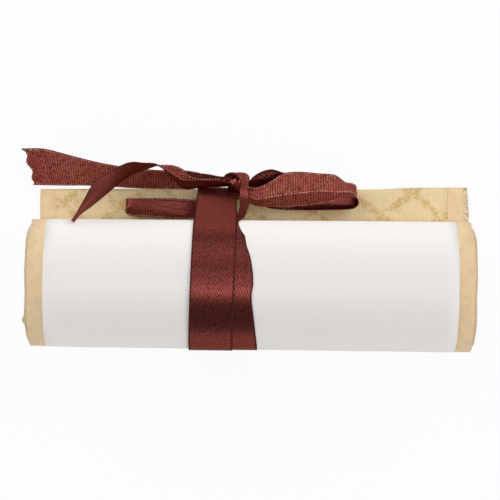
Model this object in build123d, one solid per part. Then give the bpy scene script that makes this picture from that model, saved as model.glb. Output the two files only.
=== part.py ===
"""Paper scroll tied with a satin ribbon, lying on a table.

Millimetres. +X runs along the roll, +Y towards the loose flap and the bow, +Z up. The origin is
on the table, under the roll's axis and the middle of the ribbon wrap that lies outermost.

The scroll is one long sheet of tan paper with a white panel glued to its outer face and a brocade
panel to its inner face, wound round about three times. The sheet's last stretch lies flat on the
table as a flap. One ribbon goes round the roll and the flap twice and is tied in a bow at the
flap's back edge.
"""

import os
from math import acos, atan2, cos, degrees, radians, sin, tan

from build123d import *

# The laminated sheet
SHEET_WIDTH = 200.5
SHEET_X = 17.1
WHITE_THICKNESS = 0.2
TAN_THICKNESS = 0.25
BROCADE_THICKNESS = 0.3
WHITE_MARGIN = 6.6
BROCADE_MARGIN = 7.3

# The winding: half circles round two centres, one each side of a short flat
OUTER_RADIUS = 27.7
FLAT_WIDTH = 5.0
TURN_PITCH = 1.9
TURNS = 2.4
FLAP_REACH = 48.0

# The ribbon
RIBBON_WIDTH = 20.0
RIBBON_THICKNESS = 0.3
RIBBON_GAP = 0.06
UPPER_BAND_TURN = -2.8
LOWER_BAND_X = 6.2
LOWER_BAND_TURN = 7.7
LOWER_BAND_START = 48.0

# The knot
KNOT_BESIDE_BAND = 1.1
KNOT_LENGTH = 13.0
KNOT_RADIUS = 5.2
KNOT_TAPER = 2.8
KNOT_BEHIND_FLAP = 2.3

# What follows from the sizes above
SHEET_THICKNESS = WHITE_THICKNESS + TAN_THICKNESS + BROCADE_THICKNESS
LAYER_STEP = RIBBON_THICKNESS + RIBBON_GAP
ROLL_BOTTOM = 2 * LAYER_STEP
FRONT_CENTRE = (-FLAT_WIDTH / 2, ROLL_BOTTOM + OUTER_RADIUS)
REAR_CENTRE = (FLAT_WIDTH / 2, ROLL_BOTTOM + OUTER_RADIUS + TURN_PITCH / 2)
REAR_RADIUS = OUTER_RADIUS - TURN_PITCH / 2
FLAP_TOP = ROLL_BOTTOM + SHEET_THICKNESS
# The knot and the bow are written for a ribbon 20 mm wide and grow with the ribbon
BOW_SCALE = RIBBON_WIDTH / 20.0
KNOT_X = RIBBON_WIDTH / 2 + KNOT_BESIDE_BAND
KNOT_CENTRE = (
    KNOT_X,
    FLAP_REACH + BOW_SCALE * KNOT_BEHIND_FLAP,
    FLAP_TOP + BOW_SCALE * KNOT_RADIUS + RIBBON_GAP,
)


def on_circle(centre, radius, angle):
    """Point of a circle in the plane across the roll, its angle in degrees from +Y."""
    return (centre[0] + radius * cos(radians(angle)), centre[1] + radius * sin(radians(angle)))


def winding(depth):
    """Lines and arcs of the sheet at a depth under its outer face, from the flap inwards."""
    bottom = ROLL_BOTTOM + depth
    edges = [Line((FLAP_REACH, bottom), (FRONT_CENTRE[0], bottom))]
    half_turns = 2 * TURNS
    for index in range(int(half_turns) + 1):
        centre = REAR_CENTRE if index % 2 else FRONT_CENTRE
        radius = OUTER_RADIUS - depth - index * TURN_PITCH / 2
        start = 90 if index % 2 else 270
        sweep = 180 * min(1.0, half_turns - index)
        if index > 0:
            edges.append(Line(edges[-1] @ 1, on_circle(centre, radius, start)))
        edges.append(CenterArc(centre, radius, start, -sweep))
    return edges


def sheet_layer(outer_depth, thickness, margin):
    """One layer of the sheet, wound up, with its side edges a margin inside the sheet's."""
    outside = winding(outer_depth)
    inside = winding(outer_depth + thickness)
    flap_end = Line(outside[0] @ 0, inside[0] @ 0)
    inner_end = Line(outside[-1] @ 1, inside[-1] @ 1)
    profile = make_face(outside + inside + [flap_end, inner_end])
    return Pos(SHEET_X, 0, 0) * extrude(Plane.YZ * profile, SHEET_WIDTH / 2 - margin, both=True)


def tangent_angle():
    """Angle at which a line from the flap's back edge touches the back of the roll."""
    span_y = FLAP_REACH - REAR_CENTRE[0]
    span_z = ROLL_BOTTOM + SHEET_THICKNESS / 2 - REAR_CENTRE[1]
    span = (span_y**2 + span_z**2) ** 0.5
    lean = acos((REAR_RADIUS - SHEET_THICKNESS / 2) / span)
    return degrees(atan2(span_z, span_y) + lean)


def band_path(offset, start_angle):
    """Lines and arcs of a ribbon round roll and flap, an offset outside the sheet.

    It starts at an angle on the back of the roll, goes over the top, down the front and under
    the flap, and up from its back edge to where the line would meet the roll again.
    """
    leave = tangent_angle()
    rear_radius = REAR_RADIUS + offset
    edge_centre = (FLAP_REACH, ROLL_BOTTOM + SHEET_THICKNESS / 2)
    edge_radius = SHEET_THICKNESS / 2 + offset
    rear = CenterArc(REAR_CENTRE, rear_radius, start_angle, 90 - start_angle)
    front = CenterArc(FRONT_CENTRE, OUTER_RADIUS + offset, 90, 180)
    edge = CenterArc(edge_centre, edge_radius, 270, 90 + leave)
    top = Line(rear @ 1, front @ 0)
    bottom = Line(front @ 1, edge @ 0)
    rise = Line(edge @ 1, on_circle(REAR_CENTRE, rear_radius, leave))
    return [rear, top, front, bottom, edge, rise]


def slanted_band(profile, x, turn):
    """A profile round the roll, cut to the ribbon's width along a line turned about Z."""
    slab = Pos(x, 0, 0) * Rot(0, 0, turn) * Box(RIBBON_WIDTH, 8 * OUTER_RADIUS, 8 * OUTER_RADIUS)
    return extrude(Plane.YZ * profile, SHEET_WIDTH / 2, both=True) & slab


def upper_band():
    """The wrap on top: a closed ring from the roll down to the flap's back edge and under."""
    inner = LAYER_STEP + RIBBON_GAP
    leave = tangent_angle()
    outside = make_face(band_path(inner + RIBBON_THICKNESS, leave))
    inside = make_face(band_path(inner, leave))
    return slanted_band(outside - inside, 0, UPPER_BAND_TURN)


def lower_band():
    """The wrap underneath, open at the back where it gathers towards the knot."""
    outside = band_path(RIBBON_GAP + RIBBON_THICKNESS, LOWER_BAND_START)
    inside = band_path(RIBBON_GAP, LOWER_BAND_START)
    ends = [Line(outside[0] @ 0, inside[0] @ 0), Line(outside[-1] @ 1, inside[-1] @ 1)]
    profile = make_face(outside + inside + ends)
    above_knot = Pos(0, FLAP_REACH, KNOT_CENTRE[2] + OUTER_RADIUS) * Box(
        SHEET_WIDTH, FLAP_REACH, 2 * OUTER_RADIUS
    )
    return slanted_band(profile, LOWER_BAND_X, LOWER_BAND_TURN) - above_knot


def smoothed(stations):
    """The stations with one more in the middle of each span, on a smooth curve through them."""
    last = len(stations) - 1
    result = [stations[0]]
    for index in range(last):
        before, after = max(index - 1, 0), min(index + 2, last)
        near = zip(stations[index], stations[index + 1])
        far = zip(stations[before], stations[after])
        middle = [(9 * (a + b) - c - d) / 16 for (a, b), (c, d) in zip(near, far)]
        result += [middle, stations[index + 1]]
    return result


def strand(stations):
    """Thin strip through stations x, y, z, direction across x, y, z, width and thickness."""
    centres = [Vector(*station[:3]) for station in stations]
    sections = []
    for index, station in enumerate(stations):
        ahead = centres[min(index + 1, len(centres) - 1)] - centres[max(index - 1, 0)]
        ahead = ahead.normalized()
        across = Vector(*station[3:6])
        across = (across - ahead * across.dot(ahead)).normalized()
        half_across = across * (station[6] / 2)
        half_up = across.cross(ahead) * (station[7] / 2)
        corners = [
            centres[index] + half_across * side + half_up * face
            for side, face in ((-1, -1), (1, -1), (1, 1), (-1, 1))
        ]
        sections.append(Wire.make_polygon(corners, close=True))
    return Solid.make_loft(sections, ruled=True)


def bow_place(x, y, z, scale=BOW_SCALE):
    """Place of a station: x runs from the knot, y from the flap's back edge, z from its top."""
    return [KNOT_X + scale * x, FLAP_REACH + scale * y, FLAP_TOP + scale * z]


def bow_strand(stations):
    """Strip of the bow through stations x, y, z, lean, width share and thickness in ribbons.

    The lean is the angle of the strip's width, in degrees from +Y upwards.
    """
    full = []
    for x, y, z, lean, share, plies in stations:
        centre = bow_place(x, y, z)
        across = [0, cos(radians(lean)), sin(radians(lean))]
        full.append(centre + across + [share * RIBBON_WIDTH, plies * RIBBON_THICKNESS])
    return strand(smoothed(full))


def gathered_strand():
    """The strand that narrows from the lower band, down the back of the roll, to the knot."""
    radius = REAR_RADIUS + RIBBON_GAP + RIBBON_THICKNESS / 2
    full_width = RIBBON_WIDTH / cos(radians(LOWER_BAND_TURN))
    on_roll = []
    for step in range(9):
        gather = step / 8
        y, z = on_circle(REAR_CENTRE, radius, LOWER_BAND_START + 1.5 - 27 * gather)
        x = LOWER_BAND_X - y * tan(radians(LOWER_BAND_TURN)) + 3.7 * BOW_SCALE * gather**2
        width = full_width * (0.99 - 0.5 * gather)
        on_roll.append([x, y, z, 1, 0, 0, width, 0.8 * RIBBON_THICKNESS])
    stations = (
        (-2.8, -18.3, 32.0, 0.38, 0.9),
        (-1.6, -17.0, 26.6, 0.3, 1.5),
        (0.8, -13.6, 20.7, 0.24, 3),
        (3.2, -8.8, 16.0, 0.22, 4.5),
        (3.4, -4.2, 13.2, 0.22, 5.5),
        (3.3, -0.4, 11.4, 0.22, 6),
        (3.2, 2.4, 8.8, 0.22, 6),
    )
    free = []
    for index, (x, y, z, share, plies) in enumerate(stations):
        # The end on the roll keeps its place, and the end in the knot grows with the knot
        scale = 1 + (BOW_SCALE - 1) * index / (len(stations) - 1)
        size = [share * RIBBON_WIDTH, plies * RIBBON_THICKNESS]
        free.append(bow_place(x, y, z, scale) + [1, 0, 0] + size)
    return strand(on_roll + smoothed(on_roll[-1:] + free)[1:])


def knot():
    """The pulled-tight middle of the bow, a barrel along the roll with tapered ends."""
    barrel = Rot(0, 90, 0) * Cylinder(BOW_SCALE * KNOT_RADIUS, BOW_SCALE * KNOT_LENGTH)
    ends = barrel.edges().filter_by(GeomType.CIRCLE)
    taper = BOW_SCALE * KNOT_TAPER
    return Pos(*KNOT_CENTRE) * chamfer(ends, taper, taper / 2)


def half_turn(x, y, z, radius, lean, share):
    """Stations of a loop's end, from its lower strand round to its upper one.

    The radius is negative where the loop points to -X.
    """
    stations = []
    for angle in (-90, -45, 0, 45, 90):
        out = radius * cos(radians(angle))
        up = abs(radius) * sin(radians(angle))
        place = (x + out, y - up * sin(radians(lean)), z + up * cos(radians(lean)))
        stations.append((*place, lean, share, 1))
    return stations


def right_loop():
    """The large loop, lying on the flap and open towards the front."""
    lower = [
        (3.0, 1.5, 2.6, 0, 0.25, 3),
        (8.5, -2.6, 1.7, 0, 0.5, 1.2),
        (14.5, -2.6, 1.0, 0, 0.76, 1),
        (26.0, -2.4, 0.8, 0, 0.86, 1),
        (40.0, -3.8, 1.0, 0, 0.7, 1),
    ]
    upper = [
        (40.0, -1.4, 9.6, 6, 0.68, 1),
        (28.0, -1.8, 9.8, 10, 0.8, 1),
        (16.5, -3.4, 9.0, 12, 0.7, 1),
        (8.5, -3.6, 8.0, 10, 0.5, 1.6),
        (3.0, -1.6, 6.9, 4, 0.34, 3),
    ]
    return bow_strand(lower + half_turn(51.6, -3.8, 5.3, 4.0, 0, 0.56) + upper)


def left_loop():
    """The small loop, tucked between the flap and the roll and passing under the upper band."""
    lower = [
        (4.4, -1.2, 2.4, 0, 0.2, 3),
        (-2.0, -5.4, 1.5, 0, 0.28, 2),
        (-10.0, -8.6, 1.0, 0, 0.38, 1.3),
        (-22.0, -9.6, 0.9, 0, 0.5, 1),
        (-36.0, -9.2, 1.2, 0, 0.5, 1),
    ]
    upper = [
        (-38.0, -9.0, 6.9, 18, 0.34, 1),
        (-30.0, -10.0, 5.9, 22, 0.46, 1),
        (-20.0, -10.2, 5.2, 20, 0.42, 1),
        (-11.0, -7.8, 4.9, 14, 0.32, 1.4),
        (-3.0, -3.6, 4.8, 8, 0.24, 2.4),
        (3.0, -0.4, 5.0, 0, 0.22, 3),
    ]
    return bow_strand(lower + half_turn(-49.6, -8.7, 4.4, -3.0, 6, 0.4) + upper)


def flat_tail():
    """The tail that stands on its edge behind the flap and lies down towards its end."""
    return bow_strand(
        [
            (-4.0, 3.6, 6.6, 72, 0.26, 2.5),
            (-12.0, 3.9, 6.0, 74, 0.44, 1),
            (-23.0, 4.0, 6.2, 66, 0.64, 1),
            (-38.0, 4.0, 6.2, 63, 0.72, 1),
            (-55.5, 5.0, 6.2, 58, 0.79, 1),
            (-72.0, 6.8, 5.6, 47, 0.87, 1),
            (-87.0, 8.6, 4.4, 34, 0.94, 1),
            (-100.6, 9.0, 3.9, 30, 0.96, 1),
        ]
    )


def raised_tail():
    """The tail that springs up, twists over the other one and leans on the back of the roll."""
    return bow_strand(
        [
            (-4.0, 1.2, 7.0, 98, 0.3, 2.5),
            (-13.0, 0.6, 8.0, 100, 0.42, 1),
            (-22.0, 0.8, 10.2, 102, 0.54, 1),
            (-30.0, 2.6, 16.4, 98, 0.64, 1),
            (-38.6, 7.2, 22.4, 91, 0.74, 1),
            (-49.0, 5.4, 26.2, 77, 0.8, 1),
            (-58.9, -1.4, 30.8, 66, 0.68, 1),
            (-64.1, -6.0, 33.6, 60, 0.5, 1),
            (-68.6, -12.4, 36.6, 56, 0.28, 1),
            (-72.6, -18.0, 39.8, 52, 0.1, 1),
        ]
    )


def ribbon():
    """Both wraps, the knot, both loops and both tails, as the one piece that they are."""
    body = knot()
    for piece in (
        upper_band(),
        lower_band(),
        gathered_strand(),
        right_loop(),
        left_loop(),
        flat_tail(),
        raised_tail(),
    ):
        body = body + piece
    return body


def main():
    nodes = {
        "tan_backing": sheet_layer(WHITE_THICKNESS, TAN_THICKNESS, 0),
        "white_panel": sheet_layer(0, WHITE_THICKNESS, WHITE_MARGIN),
        "brocade_panel": sheet_layer(
            WHITE_THICKNESS + TAN_THICKNESS, BROCADE_THICKNESS, BROCADE_MARGIN
        ),
        "ribbon": ribbon(),
    }
    os.makedirs("parts", exist_ok=True)
    for name, solid in nodes.items():
        export_step(solid, f"parts/{name}.step")


main()
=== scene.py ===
"""Paper scroll tied with a satin ribbon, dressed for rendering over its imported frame."""

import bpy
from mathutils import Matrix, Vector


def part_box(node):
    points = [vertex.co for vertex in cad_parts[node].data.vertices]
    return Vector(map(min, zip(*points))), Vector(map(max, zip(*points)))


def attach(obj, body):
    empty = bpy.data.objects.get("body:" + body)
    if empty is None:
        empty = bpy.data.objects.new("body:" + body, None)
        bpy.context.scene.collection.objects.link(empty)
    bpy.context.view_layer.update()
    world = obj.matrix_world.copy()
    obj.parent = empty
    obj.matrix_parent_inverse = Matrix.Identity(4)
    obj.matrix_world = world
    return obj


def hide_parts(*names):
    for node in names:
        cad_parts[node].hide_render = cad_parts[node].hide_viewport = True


bl_info = {
    "name": "Paper Scroll",
    "version": (1, 0, 0),
    "blender": (4, 5, 0),
    "location": "3D View > Sidebar > Scroll",
    "description": "Builds a rolled paper scroll with a brocade lining and a tied satin ribbon",
    "category": "Add Mesh",
}

from math import acos, atan2, ceil, cos, degrees, exp, pi, radians, sin, sqrt, tan

import bmesh
import bpy
import numpy as np
from mathutils import Matrix, Vector

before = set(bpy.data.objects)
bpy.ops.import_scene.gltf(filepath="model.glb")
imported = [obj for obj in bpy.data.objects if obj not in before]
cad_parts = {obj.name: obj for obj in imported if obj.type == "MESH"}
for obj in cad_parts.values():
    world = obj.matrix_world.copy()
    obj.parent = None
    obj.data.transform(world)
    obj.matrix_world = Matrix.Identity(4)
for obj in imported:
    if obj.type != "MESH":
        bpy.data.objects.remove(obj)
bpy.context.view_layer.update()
MM = 0.001
PANEL_LOW, PANEL_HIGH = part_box("white_panel")
BACKING_LOW, BACKING_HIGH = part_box("tan_backing")
BROCADE_LOW, BROCADE_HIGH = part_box("brocade_panel")

# The roll's own sizes, worked out from the frame
SHEET_WIDTH = BACKING_HIGH.x - BACKING_LOW.x
SHEET_X = (BACKING_HIGH.x + BACKING_LOW.x) / 2
ROLL_RADIUS = (PANEL_HIGH.z - PANEL_LOW.z) / 2
ROLL_BOTTOM = PANEL_LOW.z
FLAT_WIDTH = -2 * (PANEL_LOW.y + ROLL_RADIUS)
FLAP_REACH = BACKING_HIGH.y
WHITE_MARGIN = (SHEET_WIDTH - (PANEL_HIGH.x - PANEL_LOW.x)) / 2
BROCADE_MARGIN = (SHEET_WIDTH - (BROCADE_HIGH.x - BROCADE_LOW.x)) / 2
WHITE_THICKNESS = BACKING_LOW.z - PANEL_LOW.z
TAN_THICKNESS = BROCADE_LOW.z - BACKING_LOW.z
BROCADE_THICKNESS = 0.3 * MM
SHEET_THICKNESS = WHITE_THICKNESS + TAN_THICKNESS + BROCADE_THICKNESS
TURN_PITCH = 1.9 * MM
TURNS = 2.4
FLAP_TOP = ROLL_BOTTOM + SHEET_THICKNESS
FRONT_CENTRE = (-FLAT_WIDTH / 2, ROLL_BOTTOM + ROLL_RADIUS)
REAR_CENTRE = (FLAT_WIDTH / 2, ROLL_BOTTOM + ROLL_RADIUS + TURN_PITCH / 2)
REAR_RADIUS = ROLL_RADIUS - TURN_PITCH / 2
SHEET_COLUMNS = 33
FLAP_STEPS = 28
HALF_TURN_STEPS = 56


def length_setting(name, description, default):
    return bpy.props.FloatProperty(name=name, description=description, default=default, unit="LENGTH")


def colour_setting(name, description, default):
    return bpy.props.FloatVectorProperty(
        name=name, description=description, subtype="COLOR", default=default
    )


class ScrollSheetSizes(bpy.types.PropertyGroup):
    """Sizes of the rolled sheet that the frame leaves free."""

    taper: bpy.props.FloatProperty(
        name="Taper",
        description="Share by which the roll's radius grows from its middle to its right end",
        default=0.012,
    )
    flap_skew: length_setting(
        "Flap skew", "How much further back the flap's right corner lies than its middle", 1.5 * MM
    )
    woven_edge: length_setting(
        "Woven edge", "How far the loose weave sticks out at the flap's right end", 2.7 * MM
    )
    telescope: length_setting(
        "Telescope", "How far the inner turn sticks out beyond the outer one at both ends", 1.3 * MM
    )


class ScrollRibbonSizes(bpy.types.PropertyGroup):
    """Sizes of the ribbon and its bow."""

    width: length_setting("Width", "Width of the ribbon when it lies flat", 20 * MM)
    thickness: length_setting("Thickness", "Thickness of the ribbon", 0.3 * MM)
    gap: length_setting("Gap", "Air between the ribbon and what it lies on", 0.06 * MM)
    fullness: bpy.props.FloatProperty(
        name="Fullness",
        description="How much of the width lost where the ribbon is gathered shows as folds",
        default=1.0,
    )
    dot_pitch: length_setting(
        "Edge stitch pitch", "Distance between the light stitches along the ribbon's edges", 1.35 * MM
    )
    dot_size: length_setting(
        "Edge stitch size", "Radius of the light stitches along the ribbon's edges", 0.42 * MM
    )


class ScrollFinishes(bpy.types.PropertyGroup):
    """Colours of the finishes."""

    white: colour_setting("White paper", "Colour of the outer panel", (0.875, 0.847, 0.818))
    tan: colour_setting("Tan paper", "Colour of the backing", (0.79, 0.585, 0.345))
    cream: colour_setting(
        "Brocade ground", "Colour of the brocade between its lines", (0.83, 0.655, 0.375)
    )
    gold: colour_setting("Brocade lines", "Colour of the brocade's woven lines", (0.62, 0.40, 0.12))
    satin: colour_setting("Satin", "Colour of the ribbon's glossy face", (0.22, 0.051, 0.041))
    weave: colour_setting("Ribbon back", "Colour of the ribbon's matte woven face", (0.29, 0.035, 0.02))


def maths_method(operation):
    """A method of Term that adds one maths node."""

    def method(self, *others):
        return self.finish.maths(operation, self, *others)

    return method


class Term:
    """A number that varies over a surface, so shader maths can be written as an expression."""

    def __init__(self, finish, socket):
        self.finish = finish
        self.socket = socket

    __add__ = __radd__ = maths_method("ADD")
    __sub__ = maths_method("SUBTRACT")
    __mul__ = maths_method("MULTIPLY")
    __truediv__ = maths_method("DIVIDE")
    __pow__ = maths_method("POWER")
    sine = maths_method("SINE")
    size = maths_method("ABSOLUTE")
    part = maths_method("FRACT")
    least = maths_method("MINIMUM")
    most = maths_method("MAXIMUM")

    def __rsub__(self, other):
        return self.finish.maths("SUBTRACT", other, self)

    def ribs(self, pitch):
        """A wave between 0 and 1 that repeats at each pitch."""
        return (self * (2 * pi / pitch)).sine() * 0.5 + 0.5

    def step(self, low, high):
        """0 below low, 1 above high, and a smooth slope between them."""
        inputs = {"Value": self, "From Min": low, "From Max": high}
        made = self.finish.node("ShaderNodeMapRange", inputs, interpolation_type="SMOOTHSTEP")
        return Term(self.finish, made.outputs["Result"])


class Nodes:
    """A node tree, with one method that adds any node."""

    def __init__(self, tree):
        self.tree = tree

    def node(self, kind, inputs=None, **settings):
        made = self.tree.nodes.new(kind)
        for name, value in settings.items():
            setattr(made, name, value)
        for key, value in (inputs or {}).items():
            self.feed(made.inputs[key], value)
        return made

    def feed(self, socket, value):
        if isinstance(value, Term):
            value = value.socket
        if isinstance(value, bpy.types.NodeSocket):
            self.tree.links.new(value, socket)
        else:
            socket.default_value = value


class Finish(Nodes):
    """A material and its node tree."""

    def __init__(self, name):
        self.material = bpy.data.materials.new(name)
        self.material.use_nodes = True
        super().__init__(self.material.node_tree)
        self.tree.nodes.clear()
        self.output = self.node("ShaderNodeOutputMaterial")

    def maths(self, operation, *terms):
        made = self.node("ShaderNodeMath", dict(enumerate(terms)), operation=operation)
        return Term(self, made.outputs[0])

    def coordinates(self, source):
        place = self.node("ShaderNodeTexCoord").outputs[source]
        split = self.node("ShaderNodeSeparateXYZ", {"Vector": place})
        return [Term(self, split.outputs[index]) for index in range(3)]

    def surface_place(self):
        """Terms for the metres across and along the surface, and both as a vector."""
        across, along, _ = self.coordinates("UV")
        return across, along, self.vector(across, along)

    def vector(self, x, y, z=0.0):
        return self.node("ShaderNodeCombineXYZ", {"X": x, "Y": y, "Z": z}).outputs["Vector"]

    def noise(self, vector, scale, detail, roughness=0.5, distortion=0.0):
        """Soft noise between 0 and 1, with a scale in spots to the metre."""
        inputs = {"Vector": vector, "Scale": scale, "Detail": detail, "Roughness": roughness}
        inputs["Distortion"] = distortion
        return Term(self, self.node("ShaderNodeTexNoise", inputs).outputs["Fac"])

    def mix(self, share, first, second):
        """A colour that goes from the first to the second as the share goes from 0 to 1."""
        inputs = {"Factor": share, "A": colour(first), "B": colour(second)}
        return self.node("ShaderNodeMix", inputs, data_type="RGBA").outputs["Result"]

    def tones(self, share, paint, low, high):
        """A colour that goes from one shade of a paint to another."""
        return self.mix(share, shaded(paint, low), shaded(paint, high))

    def bump(self, height, strength):
        """A normal for a height in metres."""
        inputs = {"Height": height, "Distance": 1.0, "Strength": strength}
        return self.node("ShaderNodeBump", inputs).outputs["Normal"]

    def surface(self, **inputs):
        """The finished material, from inputs whose names have underscores for spaces."""
        named = {name.replace("_", " "): value for name, value in inputs.items()}
        shader = self.node("ShaderNodeBsdfPrincipled", named)
        self.feed(self.output.inputs["Surface"], shader.outputs["BSDF"])
        return self.material


def colour(value):
    """A colour with its alpha, or the socket that it comes from."""
    if isinstance(value, bpy.types.NodeSocket):
        return value
    return (*value[:3], 1.0)


def shaded(value, share):
    """A colour made lighter or darker by a share."""
    return tuple(channel * share for channel in value[:3])


# Finishes

LOOSE_WEAVE_GAP = (0.15, 0.095, 0.05)
LOOSE_WEAVE_YARN = (0.85, 0.74, 0.55)
BACK_STITCH = (0.7, 0.3, 0.23)
EDGE_STITCH_DARK = (0.42, 0.12, 0.08)
EDGE_STITCH_LIGHT = (0.8, 0.42, 0.34)
# Where the painted shade along the ribbon's edges begins on either face, from its middle
SATIN_EDGE_SHADE = 9.15 * MM
BACK_EDGE_SHADE = 9.2 * MM


def white_paper_finish(finishes):
    """Smooth white paper with faint clouds and a slight unevenness."""
    finish = Finish("white_paper")
    across, along, place = finish.surface_place()
    cloud = finish.noise(place, 26.0, 4.0, 0.6)
    fibre = finish.noise(finish.vector(across * 0.6, along), 1500.0, 3.0, 0.65)
    tone = (cloud - 0.5) * 0.5 + (fibre - 0.5) * 0.35 + 0.5
    paint = finish.tones(tone, finishes.white, 0.97, 1.03)
    swell = finish.noise(finish.vector(across * 0.35, along), 60.0, 2.0)
    normal = finish.bump(fibre * 0.12 * MM + swell * 1.4 * MM, 0.25)
    return finish.surface(Base_Color=paint, Roughness=0.72, Normal=normal)


def tan_paper_finish(finishes):
    """Blotchy tan paper that shows a loose weave at its ends."""
    finish = Finish("tan_paper")
    across, along, place = finish.surface_place()
    blotch = finish.noise(place, 190.0, 4.0, 0.65)
    fibre = finish.noise(finish.vector(across * 0.5, along), 1900.0, 3.0, 0.7)
    tone = (blotch - 0.5) * 1.5 + (fibre - 0.5) * 0.5 + 0.5
    paint = finish.tones(tone, finishes.tan, 0.84, 1.12)
    # The loose weave shows at the flap's right end and, past a band of painted shade, at the inner
    # turn's ends; the painted shade darkens all of the inner turn that sticks out beyond the outer one
    loops = (along * (2 * pi / (1.5 * MM)) + (across * (2 * pi / (1.9 * MM))).sine() * 1.9).sine()
    tangle = finish.noise(finish.vector(across * 1.5, along), 620.0, 3.0, 0.7)
    thread = loops * 0.28 + (tangle - 0.5) * 2.6 + 0.62
    on_flap = 1 - along.step(0.052, 0.058)
    on_inner_turn = along.step(0.215, 0.225)
    flap_end = (across - SHEET_WIDTH / 2 - 0.1 * MM).step(0.0, 0.3 * MM) * on_flap
    past_end = across.size() - SHEET_WIDTH / 2
    weave = flap_end.most((past_end - 1.4 * MM).step(0.0, 0.2 * MM) * on_inner_turn)
    # Painted shade: the inner turn is darkened where it sticks out from under the outer turn
    painted_shade = (past_end - 0.45 * MM).step(0.0, 0.2 * MM) * on_inner_turn
    paint = finish.mix(painted_shade * 0.45, paint, shaded(finishes.tan, 0.55))
    paint = finish.mix(weave * (1 - thread.step(0.1, 0.5)) * 0.85, paint, LOOSE_WEAVE_GAP)
    paint = finish.mix(weave * thread.step(0.6, 0.9) * 0.6, paint, LOOSE_WEAVE_YARN)
    crease = finish.noise(finish.vector(across, along * 0.8), 330.0, 2.0, 0.5, 0.6)
    height = crease * 0.25 * MM + fibre * 0.05 * MM + weave * loops * 0.1 * MM
    return finish.surface(Base_Color=paint, Roughness=0.66, Normal=finish.bump(height, 0.6))


def brocade_finish(finishes):
    """Fine ribs along the sheet with woven lines in a lattice over them."""
    finish = Finish("brocade")
    across, along, place = finish.surface_place()
    rib = across.ribs(0.87 * MM)
    thread = along.ribs(0.42 * MM)
    sway = finish.noise(place, 38.0, 2.0) - 0.5
    # The lattice is two families of slanted, swaying lines
    lattice = None
    for slope, pitch in ((0.66, 32 * MM), (-0.74, 29 * MM)):
        line = (across + along * (1 / slope) + sway * 11 * MM) / pitch
        ridge = 1 - ((line.part() - 0.5).size() * 2 / 0.42).least(1.0)
        lattice = ridge if lattice is None else lattice.most(ridge)
    speck = finish.noise(finish.vector(across, along * 0.8), 1150.0, 2.0, 0.7)
    scatter = finish.noise(place, 75.0, 3.0)
    patchy = finish.noise(place, 240.0, 3.0, 0.6)
    figure = lattice.step(0.3, 0.8) * patchy.step(0.38, 0.52)
    figure = figure + (scatter - 0.55).step(0.0, 0.12) * 0.45
    woven = figure * speck.step(0.36, 0.58)
    ground = finish.tones(rib, finishes.cream, 0.66, 1.1)
    mottle = (finish.noise(place, 420.0, 3.0, 0.7) - 0.5) * 1.4 + 0.5
    ground = finish.mix(mottle, ground, shaded(finishes.cream, 1.04))
    paint = finish.mix(woven.least(1.0), ground, finishes.gold)
    normal = finish.bump(rib * 0.11 * MM + thread * 0.03 * MM + woven * 0.09 * MM, 0.9)
    return finish.surface(Base_Color=paint, Roughness=0.5 - woven * 0.12, Normal=normal)


def satin_finish(finishes):
    """Glossy face: fine slanted twill, rougher edges darkened with painted shade, and lengthwise
    streaks.
    """
    finish = Finish("satin")
    across, along, place = finish.surface_place()
    slant = across + along * 0.62
    wander = (finish.noise(place, 340.0, 2.0) - 0.5) * 0.5 * MM
    twill = (slant + wander).ribs(1.25 * MM)
    weft = along.ribs(0.5 * MM)
    streak = finish.noise(finish.vector(across * 9.0, along * 0.5), 130.0, 3.0, 0.6)
    speck = finish.noise(finish.vector(slant * 2.0, along - across * 0.5), 620.0, 4.0, 0.75)
    # Painted shade: the rougher edges are darkened to show the shadow line along them
    edge = (across.size() - SATIN_EDGE_SHADE).step(0.0, 0.35 * MM)
    tone = twill * 0.75 + streak * 0.35 + (speck - 0.5) * 3.0 - 0.05
    paint = finish.tones(tone, finishes.satin, 0.35, 1.65)
    paint = finish.mix(edge * 0.8, paint, shaded(finishes.satin, 0.22))
    height = twill * 0.055 * MM + weft * 0.016 * MM + streak * 0.1 * MM + speck * 0.16 * MM
    normal = finish.bump(height, 0.55)
    return finish.surface(
        Base_Color=paint,
        Roughness=0.285 + twill * 0.05 + edge * 0.3,
        Normal=normal,
        Metallic=0.95,
        Specular_Tint=(0.75, 0.5, 0.45, 1.0),
    )


def ribbon_back_finish(finishes):
    """Matte face: light stitches in a grid over a dark open weave."""
    finish = Finish("ribbon_back")
    across, along, place = finish.surface_place()
    wander = (finish.noise(place, 260.0, 2.0) - 0.5) * 1.3 * MM
    weft = along + wander
    bars = weft.ribs(1.2 * MM)
    rows = (across * (2 * pi / (1.1 * MM)) + weft * (pi / (1.2 * MM))).sine() * 0.5 + 0.5
    blot = finish.noise(finish.vector(across, along * 0.6), 620.0, 3.0, 0.7)
    patch = finish.noise(place, 110.0, 2.0)
    tone = bars * 0.15 + (blot - 0.5) * 2.0 + 0.33
    ground = finish.tones(tone, finishes.weave, 0.25, 1.4)
    dots = (bars * rows) ** 1.8 * blot.step(0.3, 0.55) * (patch.step(0.3, 0.65) * 0.5 + 0.5)
    paint = finish.mix(dots, ground, BACK_STITCH)
    # Painted shade: the edges of the matte face are darkened to show the shadow line along them
    edge = (across.size() - BACK_EDGE_SHADE).step(0.0, 0.3 * MM)
    paint = finish.mix(edge * 0.7, paint, shaded(finishes.weave, 0.25))
    normal = finish.bump(bars * 0.06 * MM + rows * 0.06 * MM + blot * 0.16 * MM, 0.8)
    return finish.surface(Base_Color=paint, Roughness=0.62, Normal=normal, Specular_IOR_Level=0.2)


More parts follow.
